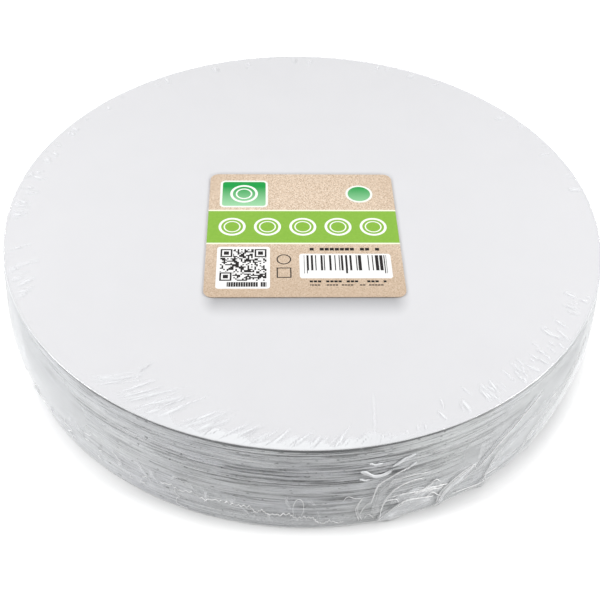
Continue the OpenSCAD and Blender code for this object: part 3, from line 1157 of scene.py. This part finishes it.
CARD = ((0.60, 0.465, 0.345, 1.0), (0.82, 0.665, 0.52, 1.0))
CARD_SPECK = (0.33, 0.22, 0.13, 1.0)
CARD_FLECK = (0.97, 0.88, 0.76, 1.0)
CARD_DARKER_TONE = (0.49, 0.36, 0.25, 1.0)
BLACK_INK = (0.012, 0.010, 0.010, 1.0)
PANEL_WHITE = ((0.87, 0.87, 0.86, 1.0), (0.92, 0.92, 0.91, 1.0))
LIME = ((0.230, 0.45, 0.052, 1.0), (0.258, 0.485, 0.060, 1.0))
LIME_RINGS = (0.92, 0.93, 0.88, 1.0)
GREEN = ((0.006, 0.31, 0.055, 1.0), (0.40, 0.72, 0.44, 1.0))
GREEN_RINGS = (0.93, 0.95, 0.90, 1.0)
CREAM = (0.93, 0.94, 0.74)
OUTLINE_WHITE = (0.90, 0.92, 0.86)

# Lengths on the label are in millimetres
# The corners of the card lie this far from its middle
LABEL_CORNER = 50.0
# The two symbols between the white panels, a ring and a square
SYMBOLS_X = -7.5
SYMBOL_R = 2.5
SYMBOL_OFF = 3.6
SYMBOL_LINE = 0.45
# Rows of dashes: how far from the wide panel's edge, width, length and pitch
DASH_ROWS = ((2.6, 27.0, 1.5, 1.9), (-1.6, 29.0, 1.0, 1.5), (-3.5, 27.0, 0.6, 1.1))
# The blocks in the tall panel: how many across, the margin, and the corner squares' half sizes
BLOCKS = 27
BLOCK_MARGIN = 1.3
CORNER_HALF = 3.5
CORNER_LINE = 2.5
CORNER_DOT = 1.5
CORNER_CLEAR = 4.0
# The bars in the wide panel: width, margin, how far up they lie and how much shorter most are
BAR = 0.4
BAR_MARGIN = 1.7
BAR_UP = 0.9
BAR_SHORTER = 1.6
GUARD_HALF = 0.7
GUARD_END = 3.0
# The row of plates on the band, and the plate in the badge: radius and line of each ring
BAND_PLATES = 5
BAND_PLATE_PITCH = 13.6
BAND_RINGS = ((4.7, 1.0), (3.016, 0.5))
BADGE_RINGS = ((5.0, 1.0), (3.0, 0.6))


def fields(node, between=0.0):
    """The fields of a print node left and right of a line: their middle and size on the label."""
    points = places(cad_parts[node]) - np.array(LABEL_MIDDLE)
    turn = math.radians(-LABEL_TURN)
    x = (points[:, 0] * math.cos(turn) - points[:, 1] * math.sin(turn)) / MM
    y = (points[:, 0] * math.sin(turn) + points[:, 1] * math.cos(turn)) / MM
    found = []
    for own in (x < between, x > between):
        low_x, high_x, low_y, high_y = x[own].min(), x[own].max(), y[own].min(), y[own].max()
        found.append(((low_x + high_x) / 2, (low_y + high_y) / 2, high_x - low_x, high_y - low_y))
    return found


def rings(x, y, rows):
    """1 on rings about a middle and 0 elsewhere."""
    away = (x * x + y * y) ** 0.5
    first, *others = [(away - radius).absolute() < line / 2 for radius, line in rows]
    for other in others:
        first = first.most(other)
    return first


def field(x, y, middle_x, middle_y, width, length):
    """1 inside a rectangle and 0 elsewhere."""
    return ((x - middle_x).absolute() < width / 2) * ((y - middle_y).absolute() < length / 2)


def hashed(f, x, y=0.0):
    """A fixed value from 0 to 1 for each whole number or pair of them."""
    cell = f.node("ShaderNodeCombineXYZ", {}, {0: x, 1: y})
    return f.node("ShaderNodeTexWhiteNoise", {"noise_dimensions": "2D"}, {"Vector": cell})


def dashes(f, x, y, middle_x, middle_y, width, length, pitch):
    """1 on a row of short dashes and 0 elsewhere."""
    cell = (x / pitch).floor()
    filled = hashed(f, cell, middle_y) > 0.2
    after_gap = (x / pitch - cell) > 0.18
    return field(x, y, middle_x, middle_y, width, length) * filled * after_gap


def ink_grain(f):
    """The card's fibres as they show through ink."""
    return f.noise(f.place(), *INK_NOISE).step_up(0.3, 0.7)


def printed(name, colour, spread=0.05):
    """Matt ink on card: nearly even, with the card's fibres showing through."""
    f = Finish.new(name)
    grain = ink_grain(f)
    darker = tuple(v * (1 - spread) for v in colour)
    ink = f.blend(grain, (*darker, 1.0), (*colour, 1.0))
    return f.painted(ink, 0.55, (grain, INK_RELIEF, 0.4))


def kraft_card():
    """Brown card: mottled, with short fibres, darker to its corners and to its front, and with black dashes
    and symbols.
    """
    f = Finish.new("kraft_card")
    spot = f.place()
    x, y = label_place(f)
    mottle = f.noise(spot, *CARD_MOTTLE).step_up(0.3, 0.68)
    speck = f.noise(f.stretched(spot, (1.0, 1.6, 1.0), 35.0), *CARD_SPECKS).step_up(0.60, 0.66)
    fleck = f.noise(f.stretched(spot, (2.4, 1.0, 1.0), -20.0), *CARD_FLECKS).step_up(0.60, 0.68)
    specked = f.blend(speck * 0.8, f.blend(mottle, *CARD), CARD_SPECK)
    card = f.blend(fleck * 0.8, specked, CARD_FLECK)
    outer = (x * x + y * y) / LABEL_CORNER**2
    darker = (outer.step_up(0.3, 1.0) * 0.35).most(y.step_up(12.0, -34.0) * 0.55)
    wide_x, wide_y, _, wide_l = fields("label_panels", SYMBOLS_X)[1]
    ink = rings(x - SYMBOLS_X, y - wide_y - SYMBOL_OFF, [(SYMBOL_R, SYMBOL_LINE)])
    square = (x - SYMBOLS_X).absolute().most((y - wide_y + SYMBOL_OFF).absolute()) - SYMBOL_R
    ink = ink.most(square.absolute() < SYMBOL_LINE / 2)
    for from_edge, width, length, pitch in DASH_ROWS:
        row_y = wide_y + math.copysign(wide_l / 2, from_edge) + from_edge
        ink = ink.most(dashes(f, x, y, wide_x, row_y, width, length, pitch))
    colour = f.blend(ink, f.blend(darker, card, CARD_DARKER_TONE), BLACK_INK)
    return f.painted(colour, 0.75, (mottle, CARD_RELIEF, 0.5), Specular_IOR_Level=CARD_SPECULAR)


def block_pattern(f, x, y):
    """A square of small blocks with three corner squares, over a strip of dashes."""
    tall_x, tall_y, tall_w, tall_l = fields("label_panels", SYMBOLS_X)[0]
    size = tall_w - 2 * BLOCK_MARGIN
    middle_y = tall_y + tall_l / 2 - BLOCK_MARGIN - size / 2
    block = size / BLOCKS
    column, row = (x - tall_x + size / 2) / block, (y - middle_y + size / 2) / block
    filled = hashed(f, column.floor(), row.floor()) > 0.5
    near, far = CORNER_HALF, BLOCKS - CORNER_HALF
    for corner_x, corner_y in ((near, far), (far, far), (near, near)):
        away = (column - corner_x).absolute().most((row - corner_y).absolute())
        corner = (away < CORNER_HALF) * (away > CORNER_LINE) + (away < CORNER_DOT)
        filled = filled * (away > CORNER_CLEAR) + corner
    strip_l = tall_l - size - 2 * BLOCK_MARGIN
    strip_y = tall_y - tall_l / 2 + BLOCK_MARGIN + strip_l / 2 - 0.5
    strip = dashes(f, x, y, tall_x + 1.4, strip_y, size - 2.8, strip_l - 0.4, 0.9)
    return filled * field(x, y, tall_x, middle_y, size, size) + strip


def bar_pattern(f, x, y):
    """A row of bars, with longer ones at its middle and ends."""
    wide_x, wide_y, wide_w, wide_l = fields("label_panels", SYMBOLS_X)[1]
    x, y = x - wide_x, y - wide_y
    bar = (x / BAR).floor()
    filled = (hashed(f, bar) > 0.45) * (bar / 4 - (bar / 4).floor() < 0.7)
    guard = (x.absolute() > wide_w / 2 - GUARD_END) + (x.absolute() < GUARD_HALF)
    width, length = wide_w - 2 * BAR_MARGIN, wide_l - 2 * BAR_MARGIN
    long_bar = field(x, y, 0.0, BAR_UP, width, length) * guard
    short_bar = field(x, y, 0.0, BAR_UP + BAR_SHORTER / 2, width, length - BAR_SHORTER)
    return filled * long_bar.most(short_bar)


def panel_ink():
    """White fields with a pattern of blocks in the tall one and a row of bars in the wide one."""
    f = Finish.new("panel_ink")
    x, y = label_place(f)
    ink = block_pattern(f, x, y) + bar_pattern(f, x, y)
    colour = f.blend(ink.limited(), f.blend(ink_grain(f), *PANEL_WHITE), BLACK_INK)
    return f.painted(colour, 0.55, Specular_IOR_Level=CARD_SPECULAR)


def band_ink():
    """Lime field with a row of white plates seen from above, each two rings."""
    f = Finish.new("lime_ink")
    x, y = label_place(f)
    middle_y = sum(part[1] for part in fields("label_band")) / 2
    nearest = (x / BAND_PLATE_PITCH + 0.5).floor() * BAND_PLATE_PITCH
    plates = rings(x - nearest, y - middle_y, BAND_RINGS)
    plates = plates * (x.absolute() < BAND_PLATES * BAND_PLATE_PITCH / 2)
    grain = ink_grain(f)
    colour = f.blend(plates, f.blend(grain, *LIME), LIME_RINGS)
    return f.painted(colour, 0.55, (grain, INK_RELIEF, 0.4), Specular_IOR_Level=CARD_SPECULAR)


def badge_ink():
    """Green that pales to the front, with a plate of two white rings in the badge."""
    f = Finish.new("green_ink")
    x, y = label_place(f)
    badge_x, badge_y, _, badge_l = fields("label_badge")[0]
    paler = ((y - badge_y) / badge_l).step_up(0.30, -0.60)
    plate = rings(x - badge_x, y - badge_y, BADGE_RINGS)
    colour = f.blend(plate, f.blend(paler, *GREEN), GREEN_RINGS)
    return f.painted(colour, 0.5, Specular_IOR_Level=CARD_SPECULAR)


def dress_label():
    """Gives the label's own nodes their materials."""
    finishes = {
        "label_card": kraft_card(),
        "label_band": band_ink(),
        "label_lines": printed("cream_ink", CREAM),
        "label_badge": badge_ink(),
        "label_rims": printed("white_outline_ink", OUTLINE_WHITE),
        "label_panels": panel_ink(),
    }
    for node, material in finishes.items():
        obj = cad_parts[node]
        obj.data.materials.clear()
        obj.data.materials.append(material)


# Stage

FLOOR_SIZE = 12.0
# How far the painted shadow ring on the floor reaches from the pack
SHADOW_REACH = 0.021
# From where to where the floor brightens far away, so that the camera sees it white
FAR_FLOOR = (0.4, 1.4)
WORLD_LIGHT = 0.42
# Direction, elevation, distance, size and power of each lamp
LAMPS = {
    "lamp_left": (-172, 33, 1.3, 0.6, 11.4),
    "lamp_right": (-8, 33, 1.3, 0.6, 11.4),
    "lamp_back_left": (125, 34, 1.3, 0.12, 0.9),
    "lamp_back_right": (55, 34, 1.3, 0.12, 0.9),
}


def floor_material():
    """A floor that the camera sees as white and reflections as pale grey, with the pack's shadow on it,
    deepened by a painted shadow ring round the foot, and painted paler near the pack for reflections.
    """
    f = Finish.new("floor_white")
    rays = f.node("ShaderNodeLightPath").socket.node.outputs
    x, y = f.parts(f.place())[:2]
    away = (x * x + y * y) ** 0.5
    clear = away.step_up(PLATE_R, PLATE_R + SHADOW_REACH)
    bounced = f.blend(x.absolute().step_up(0.05, 0.14), grey(0.58), grey(0.85))
    # Reflections see the floor painted paler near the pack, as light that lifts its shadow there
    mirrored = f.blend(clear, grey(0.95), grey(0.74))
    unseen = f.blend(Wire(f, rays["Is Glossy Ray"]), bounced, mirrored)
    # Painted shadow round the foot, darker at the front and right than at the left
    foot = f.blend((x * -1.0).step_up(0.03, 0.10), grey(0.72), grey(0.92))
    far = f.blend(away.step_up(*FAR_FLOOR), grey(1.95), grey(3.6))
    colour = f.blend(Wire(f, rays["Is Camera Ray"]), unseen, f.blend(clear, foot, far))
    return f.surface(f.node("ShaderNodeBsdfDiffuse", {}, {"Color": colour}))


def build_world():
    """Light from all round, which the camera and reflections see as white."""
    world = bpy.data.worlds.new("studio")
    bpy.context.scene.world = world
    f = Finish(world, "ShaderNodeOutputWorld")
    rays = f.node("ShaderNodeLightPath").socket.node.outputs
    seen = Wire(f, rays["Is Camera Ray"]).most(Wire(f, rays["Is Glossy Ray"]))
    light, white = (
        f.node("ShaderNodeBackground", {}, {"Color": grey(1.0), "Strength": strength})
        for strength in (WORLD_LIGHT, 1.0)
    )
    f.surface(f.mixed(seen, light, white))


def build_stage():
    """The floor and the world."""
    deselect()
    bpy.ops.mesh.primitive_plane_add(size=FLOOR_SIZE, location=(0, 0, 0))
    floor = named("floor")
    floor.data.materials.append(floor_material())
    build_world()


def add_lamp(name, direction, elevation, distance, size, power):
    """A soft square lamp that faces the pack from a direction and an elevation."""
    a, e = math.radians(direction), math.radians(elevation)
    towards = Vector((math.cos(a) * math.cos(e), math.sin(a) * math.cos(e), math.sin(e)))
    data = bpy.data.lights.new(name, "AREA")
    data.shape = "SQUARE"
    data.size = size
    data.energy = power
    lamp = bpy.data.objects.new(name, data)
    lamp.location = towards * distance
    lamp.rotation_mode = "QUATERNION"
    lamp.rotation_quaternion = towards.to_track_quat("Z", "Y")
    bpy.context.scene.collection.objects.link(lamp)


def build_lights():
    """All lamps."""
    for name, row in LAMPS.items():
        add_lamp(name, *row)


# Camera, from the photograph's outline

CAMERA_DISTANCE = 0.4205
CAMERA_ELEVATION = 44.88
CAMERA_ROLL = 1.61
CAMERA_AIM = Vector((-0.0004, -0.0043, 0.0))
CAMERA_LENS = 60.0
CAMERA_SENSOR = 36.0
CAMERA_NEAR = 0.01


def build_camera():
    """The camera at the photograph's place, turned a little about its own line of sight."""
    e, roll = math.radians(CAMERA_ELEVATION), math.radians(CAMERA_ROLL)
    forward = Vector((0, math.cos(e), -math.sin(e)))
    level = Vector((1, 0, 0))
    upright = level.cross(forward)
    right = math.cos(roll) * level + math.sin(roll) * upright
    up = math.cos(roll) * upright - math.sin(roll) * level
    data = bpy.data.cameras.new("camera")
    data.lens = CAMERA_LENS
    data.sensor_width = CAMERA_SENSOR
    data.clip_start = CAMERA_NEAR
    camera = bpy.data.objects.new("camera", data)
    turn = Matrix((right, up, -forward)).transposed().to_4x4()
    camera.matrix_world = Matrix.Translation(CAMERA_AIM - CAMERA_DISTANCE * forward) @ turn
    bpy.context.scene.collection.objects.link(camera)
    bpy.context.scene.camera = camera


build_camera()
build_pile(paper_edge())
build_top_plate(paper_face())
film_finish = clear_film()
shrunk_film = build_film(film_finish)
build_sheets(shrunk_film, film_finish)
build_creases(shrunk_film, white_crease())
dress_label()
build_stage()
build_lights()
bpy.context.scene.view_settings.view_transform = "Standard"
